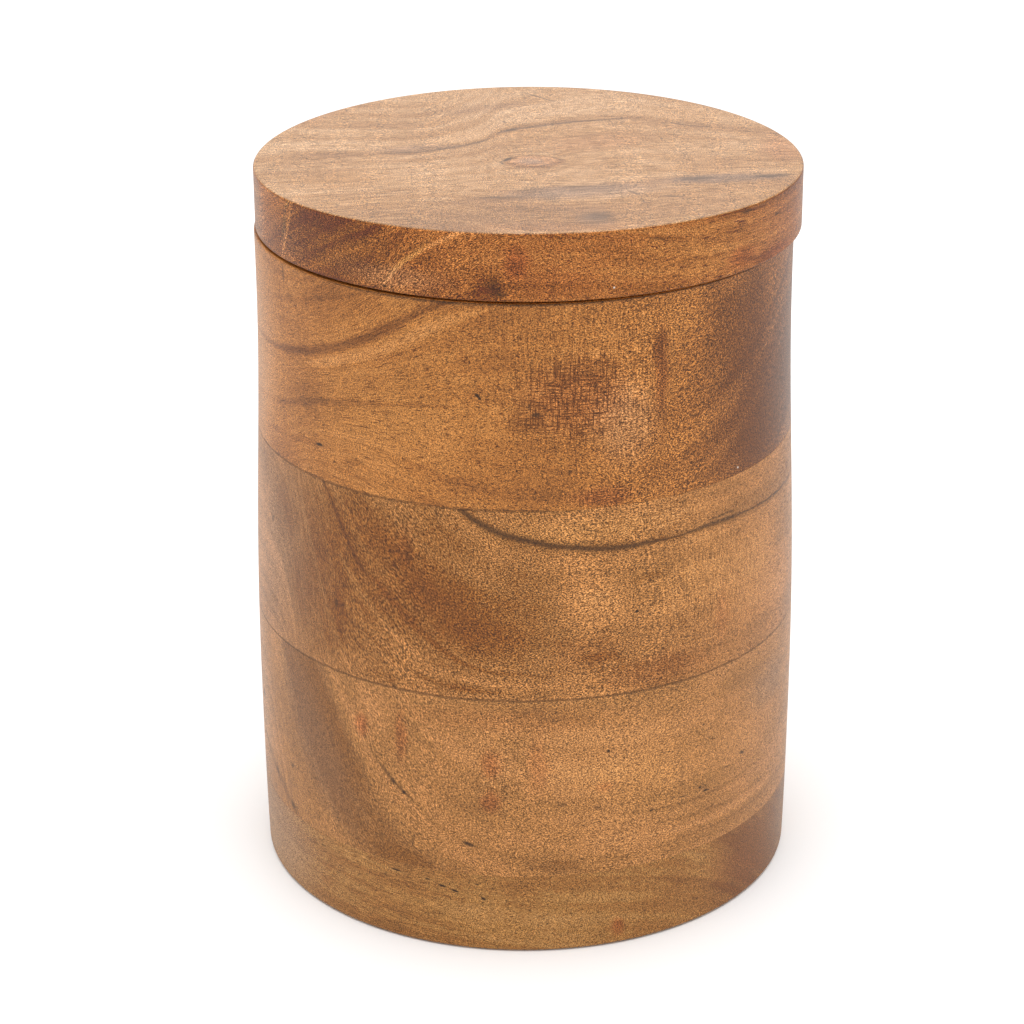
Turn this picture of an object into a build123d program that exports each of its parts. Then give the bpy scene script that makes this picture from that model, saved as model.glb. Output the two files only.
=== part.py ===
from build123d import *
import os

# Wooden storage jar with a lift-off lid.
# Four boards are glued face to face, bored and turned as one body. The lid is a turned disc
# with a plug glued under it, and a soft seal ring sits in a groove round the plug.
# Millimetres, +Z up, origin at the middle of the underside.

# Board thicknesses from the bottom up
base_thickness = 17.3
lower_ring_height = 39.0
middle_ring_height = 39.4
upper_ring_height = 41.2
lid_thickness = 13.2
plug_thickness = 12.0

# Turned outside: widest at the belly, and drawn in by this much each side elsewhere
belly_diameter = 113.0
foot_inset = 0.5
shoulder_inset = 0.6
neck_inset = 1.8
rim_inset = 2.1

# The neck is where the taper ends, this far above the joint under the upper ring
neck_rise = 10.6

# Inside of the body, with the wall measured at the rim, where it is thinnest
rim_wall = 8.3
mouth_chamfer = 0.8

# Edges broken by hand after turning
foot_chamfer = 0.8
rim_chamfer = 0.5
lid_top_chamfer = 0.4
lid_bottom_chamfer = 0.5
plug_chamfer = 1.0

# Lid against body: the disc overhangs the rim and is glued a little off the middle of its plug
lid_overhang = 0.6
lid_gap = 0.5
lid_off_centre = 0.9
plug_clearance = 1.0

# The lid board has cupped a little, so its top falls by this much at the left and right
lid_crown = 0.9

# Seal ring: a flat band with two tapered lips
seal_height = 5.0
seal_band = 2.6
seal_lip_root = 1.8
seal_lip_tip = 0.6
seal_to_bore = 0.25
seal_to_groove = 0.15
seal_below_disc = 3.5

# Heights that follow from the boards
lower_joint = base_thickness
middle_joint = lower_joint + lower_ring_height
upper_joint = middle_joint + middle_ring_height
rim_height = upper_joint + upper_ring_height
disc_underside = rim_height + lid_gap
lid_top = disc_underside + lid_thickness
plug_underside = disc_underside - plug_thickness

# Radii that follow from the belly and the insets
belly_radius = belly_diameter / 2
foot_radius = belly_radius - foot_inset
shoulder_radius = belly_radius - shoulder_inset
neck_radius = belly_radius - neck_inset
rim_radius = belly_radius - rim_inset
lid_radius = rim_radius + lid_overhang

# Radii that follow from the bore
bore_radius = rim_radius - rim_wall
plug_radius = bore_radius - plug_clearance
lip_radius = bore_radius - seal_to_bore

# Groove in the plug, and the seal that it holds
seal_top = disc_underside - seal_below_disc
seal_bottom = seal_top - seal_height
groove_top = seal_top + seal_to_groove
groove_bottom = seal_bottom - seal_to_groove
band_inner_radius = plug_radius - seal_band
groove_radius = band_inner_radius - seal_to_groove


def turned(section):
    """Spins a half section, drawn as radius across and height up, about the jar's axis."""
    return revolve(Plane.XZ * section, Axis.Z)


def band(inner_radius, outer_radius, low, high):
    """Half section of a plain ring, or of a disc where the inner radius is nought."""
    corner = Pos(inner_radius, low)
    return corner * Rectangle(outer_radius - inner_radius, high - low, align=(Align.MIN, Align.MIN))


def circle_edge(solid, radius, height):
    """The round edge of a solid that lies nearest to this radius and height."""
    def miss(edge):
        spot = edge @ 0
        return abs(spot.Z - height) + abs(Vector(spot.X, spot.Y).length - radius)

    return solid.edges().filter_by(GeomType.CIRCLE).sort_by(miss)[0]


def body_outline():
    """Half section of the whole turned body, before it is bored."""
    stations = [
        (foot_radius, 0),
        (belly_radius, lower_joint + lower_ring_height / 2),
        (shoulder_radius, middle_joint + middle_ring_height / 2),
        (neck_radius, upper_joint + neck_rise),
        (rim_radius, rim_height),
    ]
    side = Spline(*stations)
    ends = Polyline(side @ 1, (0, rim_height), (0, 0), side @ 0)
    return make_face([side, ends])


def board(low, high, hole_radius):
    """The slice of the turned body between two heights, with a hole through its middle."""
    return turned(body_outline() & band(hole_radius, belly_diameter, low, high))


def make_base_disc():
    disc = board(0, lower_joint, 0)
    return chamfer(circle_edge(disc, foot_radius, 0), foot_chamfer)


def make_upper_ring():
    ring = board(upper_joint, rim_height, bore_radius)
    ring = chamfer(circle_edge(ring, rim_radius, rim_height), rim_chamfer)
    return chamfer(circle_edge(ring, bore_radius, rim_height), mouth_chamfer)


def crowned_bar():
    """A wide round bar, lying front to back, whose top gives the lid its crown."""
    crown_radius = (lid_radius**2 + lid_crown**2) / (2 * lid_crown)
    return Pos(0, 0, lid_top - crown_radius) * Rot(90, 0, 0) * Cylinder(crown_radius, 4 * lid_radius)


def make_lid_disc():
    disc = turned(band(0, lid_radius, disc_underside, lid_top)) & crowned_bar()
    disc = chamfer(disc.faces().sort_by(Axis.Z)[-1].edges(), lid_top_chamfer)
    disc = chamfer(circle_edge(disc, lid_radius, disc_underside), lid_bottom_chamfer)
    return Pos(lid_off_centre, 0, 0) * disc


def make_lid_plug():
    section = band(0, plug_radius, plug_underside, disc_underside)
    section -= band(groove_radius, lip_radius, groove_bottom, groove_top)
    return chamfer(circle_edge(turned(section), plug_radius, plug_underside), plug_chamfer)


def lip(middle):
    """Half section of one seal lip, which tapers from the band out towards the bore."""
    root = [(band_inner_radius, middle + seal_lip_root / 2), (band_inner_radius, middle - seal_lip_root / 2)]
    tip = [(lip_radius, middle - seal_lip_tip / 2), (lip_radius, middle + seal_lip_tip / 2)]
    return make_face(Polyline(*root, *tip, close=True))


def make_seal_ring():
    section = band(band_inner_radius, plug_radius - seal_to_groove, seal_bottom, seal_top)
    section += lip(seal_bottom + seal_lip_root / 2)
    section += lip(seal_top - seal_lip_root / 2)
    return turned(section)


pieces = {
    "base_disc": make_base_disc(),
    "lower_ring": board(lower_joint, middle_joint, bore_radius),
    "middle_ring": board(middle_joint, upper_joint, bore_radius),
    "upper_ring": make_upper_ring(),
    "lid_disc": make_lid_disc(),
    "lid_plug": make_lid_plug(),
    "seal_ring": make_seal_ring(),
}

os.makedirs("parts", exist_ok=True)
for name, piece in pieces.items():
    piece.label = name
    export_step(piece, f"parts/{name}.step")
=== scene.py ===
import math
from collections import namedtuple
from functools import partial

import bmesh
import bpy
import numpy
from mathutils import Euler, Matrix, Vector


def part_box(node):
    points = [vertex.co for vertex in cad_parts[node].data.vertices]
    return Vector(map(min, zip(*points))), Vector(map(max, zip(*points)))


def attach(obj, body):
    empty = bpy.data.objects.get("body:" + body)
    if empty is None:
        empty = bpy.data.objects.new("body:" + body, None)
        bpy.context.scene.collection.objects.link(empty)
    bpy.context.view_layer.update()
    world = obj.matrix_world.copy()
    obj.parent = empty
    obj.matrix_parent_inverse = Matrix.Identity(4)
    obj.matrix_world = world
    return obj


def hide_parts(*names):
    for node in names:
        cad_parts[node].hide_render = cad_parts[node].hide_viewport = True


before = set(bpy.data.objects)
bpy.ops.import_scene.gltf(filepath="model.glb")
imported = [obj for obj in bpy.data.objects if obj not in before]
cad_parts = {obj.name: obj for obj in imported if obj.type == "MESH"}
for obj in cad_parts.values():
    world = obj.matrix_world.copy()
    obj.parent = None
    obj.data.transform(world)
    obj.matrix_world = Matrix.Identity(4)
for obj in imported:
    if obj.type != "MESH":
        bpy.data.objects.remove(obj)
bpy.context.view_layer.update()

# A wooden storage jar, turned from stacked boards, with a lift-off plug lid.
# Sizes are in millimetres unless a comment says otherwise, and MM turns them into the frame's metres.
MM = 0.001

# Camera, fitted to the photograph: its place, how far it looks down, and its roll, in degrees
camera_place = (-2.7, -564.2, 305.3)
look_down = 22.38
camera_roll = -0.29
focal_length = 101.95
sensor_width = 36.0


def add_camera():
    """A camera that stands where the photograph's did, as near as the jar's edges tell."""
    camera = bpy.data.objects.new("camera", bpy.data.cameras.new("camera"))
    camera.data.lens = focal_length
    camera.data.sensor_width = sensor_width
    camera.data.clip_start = 0.01
    tilt = Euler((math.radians(90 - look_down), 0, 0)).to_matrix().to_4x4()
    roll = Matrix.Rotation(math.radians(camera_roll), 4, "Z")
    camera.matrix_world = Matrix.Translation(Vector(camera_place) * MM) @ tilt @ roll
    bpy.context.scene.collection.objects.link(camera)
    bpy.context.scene.camera = camera


add_camera()
bpy.context.scene.view_settings.view_transform = "Standard"

# Sizes read from the frame
heights = {name: [corner.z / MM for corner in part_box(name)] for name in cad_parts}
lid_low, lid_high = heights["lid_disc"]
lid_left, lid_right = (corner.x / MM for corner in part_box("lid_disc"))
lid_radius = (lid_right - lid_left) / 2
lid_centre = (lid_right + lid_left) / 2
rim_height = heights["upper_ring"][1]
plug_low = heights["lid_plug"][0]
plug_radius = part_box("lid_plug")[1].y / MM
seal_low, seal_high = heights["seal_ring"]
seal_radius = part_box("seal_ring")[1].y / MM

# The turned outside, as radius at height, from the foot to the rim
outside_stations = [
    (56.0, 0),
    (56.33, 17),
    (56.48, 42),
    (56.13, 68),
    (55.1, 95),
    (54.38, 119),
    (54.4, rim_height),
]
bore_radius = 46.1
groove_radius = 42.35
seal_slack = 0.15
lip_root = 1.8
lip_tip = 0.6

# The lid board has cupped, so its top falls by this much at the left and right
lid_crown = 0.9

# How far each edge is rounded, as the sandpaper left it, and the seal as its mould did
foot_round = 0.8
rim_round = 0.35
mouth_round = 0.8
lid_top_round = 0.5
lid_bottom_round = 0.35
plug_round = 1.0
groove_round = 0.2
joint_round = 0.07
closed_joint_round = 0.03
seal_round = 0.3
lip_round = 0.24

# How finely the turned shapes are stepped: round the axis, over an edge, and along a side
turn_steps = 256
round_steps = 4
profile_step = 5.0
merge_distance = 0.001
sharp_angle = math.radians(40)


def outside_radius(height):
    """Radius of the turned body at a height, on one smooth curve through the stations."""
    radii, levels = zip(*outside_stations)
    return float(numpy.polyval(numpy.polyfit(levels, radii, len(levels) - 1), height))


def stepped(low, high):
    """Evenly spaced values from low to high, about profile_step apart."""
    return numpy.linspace(low, high, max(2, round(abs(high - low) / profile_step) + 1))


def turned_piece(section, rounded, is_ring):
    """Spins a half section of (radius, height) points about the axis, with some corners rounded.

    rounded maps a point's number to how far its rounding reaches. A ring's section is closed, and a
    disc's starts and ends on the axis.
    """
    shape = bmesh.new()
    points = [shape.verts.new((radius, 0, height)) for radius, height in section]
    for first, second in zip(points, points[1:] + points[:1] if is_ring else points[1:]):
        shape.edges.new((first, second))
    for number, size in rounded.items():
        bmesh.ops.bevel(
            shape,
            geom=[points[number]],
            offset=size,
            segments=round_steps,
            profile=0.5,
            affect="VERTICES",
            material=-1,
        )
    bmesh.ops.spin(
        shape,
        geom=shape.verts[:] + shape.edges[:],
        cent=(0, 0, 0),
        axis=(0, 0, 1),
        angle=math.tau,
        steps=turn_steps,
        use_merge=True,
    )
    bmesh.ops.remove_doubles(shape, verts=shape.verts[:], dist=merge_distance)
    bmesh.ops.recalc_face_normals(shape, faces=shape.faces[:])
    return shape


def finished(shape, name, body, node, materials, pick=lambda face: 0):
    """Makes the turned shape a piece that stands for a CAD node, with a material for each kind of face."""
    for face in shape.faces:
        face.smooth = True
        face.material_index = pick(face)
    bmesh.ops.scale(shape, vec=(MM, MM, MM), verts=shape.verts[:])
    mesh = bpy.data.meshes.new(name)
    shape.to_mesh(mesh)
    shape.free()
    mesh.set_sharp_from_angle(angle=sharp_angle)
    for material in materials:
        mesh.materials.append(material)
    piece = bpy.data.objects.new(name, mesh)
    bpy.context.scene.collection.objects.link(piece)
    piece.modifiers.new("even_shading", "WEIGHTED_NORMAL").keep_sharp = True
    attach(piece, body)
    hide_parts(node)


def linear(colour):
    """An sRGB hex colour as the linear RGBA that Blender's sockets hold."""
    parts = [int(colour[at:at + 2], 16) / 255 for at in (0, 2, 4)]
    return [p / 12.92 if p <= 0.04045 else ((p + 0.055) / 1.055) ** 2.4 for p in parts] + [1.0]


def add_node(tree, kind, feeds=None, **settings):
    """Adds a shader node, sets it up, and feeds its inputs with values, sockets or other nodes."""
    made = tree.nodes.new("ShaderNode" + kind)
    for setting, value in settings.items():
        setattr(made, setting, value)
    for slot, value in (feeds or {}).items():
        if isinstance(value, bpy.types.Node):
            value = value.outputs[0]
        if isinstance(value, bpy.types.NodeSocket):
            tree.links.new(value, made.inputs[slot])
        else:
            made.inputs[slot].default_value = value
    return made


def new_material(name):
    """An empty node material, and the function that adds nodes to it."""
    material = bpy.data.materials.new(name)
    material.use_nodes = True
    material.node_tree.nodes.clear()
    return material, partial(add_node, material.node_tree)


# What a board's figure is made of. along is the place round the outside, counted from the front, or
# across a flat face. height is the place up, or away from the viewer on a flat face.
# A spot is an oval of half length and half width, tilted in degrees, that fades out from its core.
Spot = namedtuple("Spot", "along height length width tilt strength core", defaults=(0.2,))
# A stroke is drawn through points of (along, height, half width), and fades out from its core.
Stroke = namedtuple("Stroke", "strength core points")
# A figure's drawing goes to its reach on each side. Its guides are the courses of two growth layers,
# grain_turn is which way its fibres lie, in degrees, and contrast, fineness, pores and speckle are how
# strong its grain, fibres, pores and end grain are. Over them come shades and bands that darken or
# lighten, dark lines and marks, tints of red, gold and grey, tool marks that are hatched or combed, and
# pale flecks. Some are painted light: greys at a side's far edges are painted sheen, some partly grey
# wood too, and a dark line and a band where the body meets the lid are painted shadow.
figure_parts = [
    "reach", "guides", "grain_turn", "gloss", "ramp", "contrast", "fineness", "pores", "speckle",
    "shades", "bands", "lines", "marks", "reds", "golds", "greys", "hatches", "combed", "flecks",
]
Figure = namedtuple("Figure", figure_parts, defaults=((),) * 10)

# The round side is unrolled at one radius, and curves are drawn between a lowest and a highest place
round_radius = 56.0
half_round = math.pi * round_radius
curve_low = -80.0
curve_span = 260.0
widest_stroke = 20.0
narrowest_stroke = 0.1
thinnest_line = 0.001
# A curve is kept as a table in steps of over 1 mm, so a stroke's width stays level this far past its ends
level_end = 3.0

# Sizes of the wood's own texture. Real fibres are about 0.02 wide, rays and sanding scratches 0.05, and
# pores 0.15, which are all too fine to show, so each is drawn as coarse as it needs to show.
layer_span = 30.0
ring_size = (90, 50, 4.5)
fibre_length = 5.0
fibre_width = 0.32
streak_length = 10.0
streak_width = 0.96
pore_length = 2.8
pore_width = 0.36
ray_length = 0.38
ray_width = 0.2
grit_size = (0.2, 0.2, 0.16)
mottle_size = (13.0, 13.0, 13.0)
comb_spacing = 0.24
comb_length = 3.2
plain_ring_size = (14, 90, 9)

# How far a ragged edge strays, for soft spots and for crisp lines, and how often
ragged_size = (4.5, 4.5, 4.5)
spot_ragged = 3.0
line_ragged = 0.6

# Where each kind of texture starts and where it is full, on the noise or the slope that it comes from
pore_start = 0.36
pore_full = 0.2
ray_start = 0.38
ray_full = 0.62
end_grain_start = 0.25
end_grain_full = 0.85
line_start = -0.45
line_full = 0.0
faintest_line = 0.25

# How much each kind of texture moves a board's tone, or makes its colour sparkle
middle_tone = 0.5
streak_share = 0.5
fibre_share = 0.5
plain_fibre_share = 0.8
mottle_share = 0.45
ray_share = 0.15
fibre_sparkle = 1.5
grit_sparkle = 4.6
plain_grit_sparkle = 3.5
ray_sparkle = 0.8

# How dark sparkle may leave a colour, how much its reds darken a board, and how much bolder than their
# strength small marks are drawn, because they fade from their core
darkest_gain = 0.3
red_depth = 0.2
mark_gain = 1.5

# The weave is pale where both of its crossed noises are above this
weave_level = 0.46

# Oil in sanded wood: how rough it is on shut grain and in open pores, and how deep its relief is
oiled_rough = (0.36, 0.5)
sanded_rough = (0.42, 0.55)
open_grain = 0.3
shut_grain = 0.7
oil_ior = 1.4
usual_gloss = 0.4
relief_strength = 0.3
relief_depth = 0.06 * MM

# A ramp's colours are the 1, 5, 15, 30, 50, 70, 85, 95 and 99 in 100 shades of the board, dark to pale
ramp_places = (0.03, 0.17, 0.29, 0.40, 0.50, 0.60, 0.71, 0.83, 0.97)
# Dark marks and joints take this tint, and so does the painted shadow under the lid
mark_and_shadow_tint = "34200f"
red_tint = "8a4820"
gold_tint = "c98b45"
# Greys tint grey wood, and at the far edges of a side they are painted sheen
grey_and_sheen_tint = "7d6654"
fleck_tint = "f2ebe0"


def scaled(put, vector, size):
    """A place divided by a size along each axis, so that one unit of a pattern is that many millimetres."""
    return put("VectorMath", {0: vector, 1: [1 / part for part in size]}, operation="MULTIPLY")


def drawn_curve(put, share, reach, points, low, span):
    """A value drawn through points of (along, value), held between low and low + span."""
    curve = put("FloatCurve", {"Value": share})
    line = curve.mapping.curves[0]
    while len(line.points) < len(points):
        line.points.new(0.5, 0.5)
    for point, (along, value) in zip(line.points, points):
        point.location = ((along + reach) / (2 * reach), (value - low) / span)
        point.handle_type = "AUTO_CLAMPED"
    curve.mapping.extend = "HORIZONTAL"
    curve.mapping.update()
    return put("Math", {0: curve, 1: span, 2: low}, operation="MULTIPLY_ADD")


def added(put, total, mask):
    """The mask added to what is there already, if anything is."""
    return mask if total is None else put("Math", {0: total, 1: mask}, operation="ADD")


def spots(put, where, group):
    """The sum of soft spots, each as strong as it says."""
    total = None
    for spot in group:
        place = {
            "Vector": where,
            "Location": (spot.along, spot.height, 0),
            "Rotation": (0, 0, math.radians(spot.tilt)),
            "Scale": (spot.length, spot.width, 1),
        }
        local = put("Mapping", place, vector_type="TEXTURE")
        away = put("VectorMath", {0: local}, operation="LENGTH").outputs["Value"]
        fade = {"Value": away, "From Min": 1.0, "From Max": spot.core, "To Max": spot.strength}
        total = added(put, total, put("MapRange", fade, interpolation_type="SMOOTHSTEP"))
    return total


def strokes(put, share, reach, height, group):
    """The sum of drawn strokes, each as strong as it says."""
    total = None
    for stroke in group:
        course = [(along, level) for along, level, half_width in stroke.points]
        widths = [(along, half_width) for along, level, half_width in stroke.points]
        (start, start_width), (end, end_width) = widths[0], widths[-1]
        widths = [(start - level_end, start_width), *widths, (end + level_end, end_width)]
        middle = drawn_curve(put, share, reach, course, curve_low, curve_span)
        width = drawn_curve(put, share, reach, widths, -narrowest_stroke, widest_stroke)
        width = put("Math", {0: width, 1: thinnest_line}, operation="MAXIMUM")
        off = put("Math", {0: height, 1: middle}, operation="SUBTRACT")
        off = put("Math", {0: off}, operation="ABSOLUTE")
        off = put("Math", {0: off, 1: width}, operation="DIVIDE")
        fade = {"Value": off, "From Min": 1.0, "From Max": stroke.core, "To Max": stroke.strength}
        total = added(put, total, put("MapRange", fade, interpolation_type="SMOOTHSTEP"))
    return total


def tinted(put, colour, mask, tint, blend="MIX"):
    """The colour mixed with a tint where the mask is. COLOR keeps the lights and darks of the wood."""
    feeds = {0: mask, 6: colour, 7: linear(tint)}
    return put("Mix", feeds, data_type="RGBA", clamp_factor=True, blend_type=blend).outputs[2]


def weighed(put, base, terms):
    """The base plus each (value, weight), where the value counts from a half."""
    total = base
    for value, weight in terms:
        off = put("Math", {0: value, 1: 0.5}, operation="SUBTRACT")
        total = put("Math", {0: off, 1: weight, 2: total}, operation="MULTIPLY_ADD")
    return total


def sparkled(put, colour, terms, speckle=None):
    """The colour made lighter and darker by each (value, weight), as cut fibres catch the light or not."""
    gain = weighed(put, 1.0, terms)
    if speckle is not None:
        gain = put("Math", {0: speckle, 1: ray_sparkle, 2: gain}, operation="MULTIPLY_ADD")
    gain = put("Math", {0: gain, 1: darkest_gain}, operation="MAXIMUM")
    return put("VectorMath", {0: colour, "Scale": gain}, operation="SCALE").outputs[0]


def shade_ramp(put, tone, hexes):
    """Colours of one board from its darkest to its palest shade."""
    colours = put("ValToRGB", {0: tone})
    stops = colours.color_ramp.elements
    while len(stops) < len(hexes):
        stops.new(0.5)
    for stop, place, colour in zip(stops, ramp_places, hexes):
        stop.position = place
        stop.color = linear(colour)
    return colours.outputs[0]


def satin_wood(put, colour, relief, rough, gloss=usual_gloss):
    """Oil rubbed into sanded wood: a thin satin skin with a soft sheen, duller where the pores sink."""
    smooth, dull = rough
    polish = {"Value": relief, "From Min": open_grain, "From Max": shut_grain}
    polish.update({"To Min": dull, "To Max": smooth})
    bump = put("Bump", {"Strength": relief_strength, "Distance": relief_depth, "Height": relief})
    feeds = {"Base Color": colour, "Roughness": put("MapRange", polish), "Normal": bump}
    feeds.update({"IOR": oil_ior, "Specular IOR Level": gloss})
    put("OutputMaterial", {"Surface": put("BsdfPrincipled", feeds)})


def surface_place(put, point, is_flat, centre):
    """Where a point lies on the drawing: seen from above, or unrolled from round the outside."""
    parts = put("SeparateXYZ", {0: point})
    if is_flat:
        return put("CombineXYZ", {0: parts.outputs["X"], 1: parts.outputs["Y"]})
    aside = put("Math", {0: parts.outputs["X"], 1: centre}, operation="SUBTRACT")
    front = put("Math", {0: parts.outputs["Y"], 1: -1.0}, operation="MULTIPLY")
    turn = put("Math", {0: aside, 1: front}, operation="ARCTAN2")
    round_place = put("Math", {0: turn, 1: round_radius}, operation="MULTIPLY")
    return put("CombineXYZ", {0: round_place, 1: parts.outputs["Z"]})


def growth_layer(put, figure, share, height):
    """How deep a point lies in the growth layers, which run from the first guide to the second."""
    upper, lower = (
        drawn_curve(put, share, figure.reach, guide, curve_low, curve_span) for guide in figure.guides
    )
    below = put("Math", {0: upper, 1: height}, operation="SUBTRACT")
    gap = put("Math", {0: upper, 1: lower}, operation="SUBTRACT")
    depth = put("Math", {0: below, 1: gap}, operation="DIVIDE")
    return put("Math", {0: depth, 1: layer_span}, operation="MULTIPLY")


def cut_rays(put, grown, along, strength):
    """Rays and fibre ends, and how they speckle the places where the end grain faces out."""
    ray_place = scaled(put, grown, (fibre_length, ray_length, ray_width))
    rays = put("TexNoise", {"Vector": ray_place, "Scale": 1.0, "Detail": 2.0})
    steep = {"Value": rays, "From Min": ray_start, "From Max": ray_full, "To Min": -0.5, "To Max": 0.5}
    rays = put("MapRange", steep)
    facing = put("Math", {0: along, 1: 1 / round_radius}, operation="MULTIPLY")
    facing = put("Math", {0: facing, 1: facing}, operation="MULTIPLY")
    cut_across = {"Value": facing, "From Min": end_grain_start, "From Max": end_grain_full}
    cut_across["To Max"] = strength
    end_grain = put("MapRange", cut_across, interpolation_type="SMOOTHSTEP")
    return rays, put("Math", {0: rays, 1: end_grain}, operation="MULTIPLY")


def tool_marked(put, tone, point, soft, figure):
    """The tone with the upright comb marks and the crossed hatching that tools left."""
    posts_place = scaled(put, point, (comb_spacing, comb_spacing, comb_length))
    posts = put("TexNoise", {"Vector": posts_place, "Scale": 1.0})
    if figure.combed:
        combed = spots(put, soft, figure.combed)
        ridges = put("Math", {0: posts, 1: 0.5}, operation="SUBTRACT")
        tone = put("Math", {0: ridges, 1: combed, 2: tone}, operation="MULTIPLY_ADD")
    if figure.hatches:
        hatched = spots(put, soft, figure.hatches)
        rails_place = scaled(put, point, (comb_length, comb_length, comb_spacing))
        rails = put("TexNoise", {"Vector": rails_place, "Scale": 1.0})
        crossed = put("Math", {0: posts, 1: rails}, operation="MINIMUM")
        weave = put("Math", {0: crossed, 1: weave_level}, operation="SUBTRACT")
        tone = put("Math", {0: weave, 1: hatched, 2: tone}, operation="MULTIPLY_ADD")
    return tone


def figured_wood(name, figure, is_flat=False, centre=0.0):
    """Hardwood like acacia, turned, sanded and oiled, with a figure of its own.

    The eye sees warm brown growth layers, fine fibres that sparkle a little, and a soft satin sheen.
    The fibres lie level along grain_turn, so they show as streaks where they are cut along and as
    specks where they are cut across, and the growth layers follow two drawn guides.
    """
    material, put = new_material(name)
    point = scaled(put, put("TexCoord").outputs["Object"], (MM, MM, MM))
    place = surface_place(put, point, is_flat, centre)
    ragged = {"Vector": scaled(put, point, ragged_size), "Scale": 1.0, "Detail": 5.0, "Roughness": 0.6}
    drift = put("TexNoise", ragged).outputs["Color"]
    off = put("VectorMath", {0: drift, 1: (0.5, 0.5, 0.5)}, operation="SUBTRACT")
    soft, crisp = (
        put("VectorMath", {0: off, 1: (stray, stray, 0), 2: place}, operation="MULTIPLY_ADD")
        for stray in (spot_ragged, line_ragged)
    )
    crisp_parts = put("SeparateXYZ", {0: crisp})
    height = crisp_parts.outputs["Y"]
    reach = figure.reach
    share = put("MapRange", {"Value": crisp_parts.outputs["X"], "From Min": -reach, "From Max": reach})

    # The board's own directions: along its fibres, across them, and through its growth layers
    turn = math.radians(figure.grain_turn)
    fibre_way = (math.sin(turn), -math.cos(turn), 0)
    cross_way = (math.cos(turn), math.sin(turn), 0)
    along = put("VectorMath", {0: point, 1: fibre_way}, operation="DOT_PRODUCT").outputs["Value"]
    across = put("VectorMath", {0: point, 1: cross_way}, operation="DOT_PRODUCT").outputs["Value"]
    layer = growth_layer(put, figure, share, height)
    grown = put("CombineXYZ", {0: along, 1: across, 2: layer})

    rings = put("TexNoise", {"Vector": scaled(put, grown, ring_size), "Scale": 1.0, "Detail": 3.0})
    streak_place = scaled(put, grown, (streak_length, streak_width, streak_width))
    streaks = put("TexNoise", {"Vector": streak_place, "Scale": 1.0, "Detail": 2.0})
    fibre_place = scaled(put, grown, (fibre_length, fibre_width, fibre_width))
    fibres = put("TexNoise", {"Vector": fibre_place, "Scale": 1.0, "Detail": 3.0, "Roughness": 0.65})
    pore_place = scaled(put, grown, (pore_length, pore_width, pore_width))
    holes = put("TexNoise", {"Vector": pore_place, "Scale": 1.0, "Detail": 0.0})
    sunk = {"Value": holes, "From Min": pore_start, "From Max": pore_full, "To Max": -figure.pores}
    pores = put("MapRange", sunk)
    mottle = put("TexNoise", {"Vector": scaled(put, point, mottle_size), "Scale": 1.0, "Detail": 3.0})
    grit = put("TexNoise", {"Vector": scaled(put, point, grit_size), "Scale": 1.0, "Detail": 1.0})
    rays, speckle = cut_rays(put, grown, along, figure.speckle)

    terms = [(rings, figure.contrast), (streaks, streak_share * figure.contrast)]
    terms += [(fibres, fibre_share * figure.fineness), (mottle, mottle_share)]
    tone = weighed(put, middle_tone, terms)
    tone = added(put, tone, pores)
    tone = put("Math", {0: speckle, 1: ray_share, 2: tone}, operation="MULTIPLY_ADD")
    if figure.combed or figure.hatches:
        tone = tool_marked(put, tone, point, soft, figure)
    if figure.shades:
        tone = added(put, tone, spots(put, soft, figure.shades))
    if figure.reds:
        reds = spots(put, soft, figure.reds)
        tone = put("Math", {0: reds, 1: -red_depth, 2: tone}, operation="MULTIPLY_ADD")
    if figure.bands:
        tone = added(put, tone, strokes(put, share, reach, height, figure.bands))

    colour = shade_ramp(put, tone, figure.ramp)
    fine = [(fibres, fibre_sparkle * figure.fineness), (grit, grit_sparkle * figure.fineness)]
    colour = sparkled(put, colour, fine, speckle)
    # Tints of red, gold and grey; the greys at a side's far edges are painted sheen
    for group, tint in ((figure.reds, red_tint), (figure.golds, gold_tint), (figure.greys, grey_and_sheen_tint)):
        if group:
            colour = tinted(put, colour, spots(put, soft, group), tint, "COLOR")
    # Dark lines: glue joints and growth lines, and on the rim the painted shadow under the lid
    if figure.lines:
        broken = {"Value": rays, "From Min": line_start, "From Max": line_full, "To Min": faintest_line}
        drawn_lines = strokes(put, share, reach, height, figure.lines)
        drawn_lines = put("Math", {0: drawn_lines, 1: put("MapRange", broken)}, operation="MULTIPLY")
        colour = tinted(put, colour, drawn_lines, mark_and_shadow_tint)
    for group, tint in ((figure.marks, mark_and_shadow_tint), (figure.flecks, fleck_tint)):
        if group:
            full = put("Math", {0: spots(put, crisp, group), 1: mark_gain}, operation="MULTIPLY")
            colour = tinted(put, colour, full, tint)
    satin_wood(put, colour, fibres, oiled_rough, figure.gloss)
    return material


def plain_wood(name, ramp, grain_turn):
    """The same hardwood, sanded less, where its figure isn't known: inside, underneath and on the plug."""
    material, put = new_material(name)
    point = scaled(put, put("TexCoord").outputs["Object"], (MM, MM, MM))
    turned_place = {"Vector": point, "Rotation": (0, 0, math.radians(grain_turn))}
    local = put("Mapping", turned_place, vector_type="TEXTURE")
    rings = put("TexNoise", {"Vector": scaled(put, local, plain_ring_size), "Scale": 1.0, "Detail": 3.0})
    fibre_place = scaled(put, local, (fibre_width, fibre_length, fibre_width))
    fibres = put("TexNoise", {"Vector": fibre_place, "Scale": 1.0, "Detail": 3.0, "Roughness": 0.65})
    grit = put("TexNoise", {"Vector": scaled(put, point, grit_size), "Scale": 1.0, "Detail": 1.0})
    tone = weighed(put, middle_tone, [(rings, 1.0), (fibres, plain_fibre_share)])
    fine = [(fibres, fibre_sparkle), (grit, plain_grit_sparkle)]
    colour = sparkled(put, shade_ramp(put, tone, ramp), fine)
    satin_wood(put, colour, fibres, sanded_rough)
    return material


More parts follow.
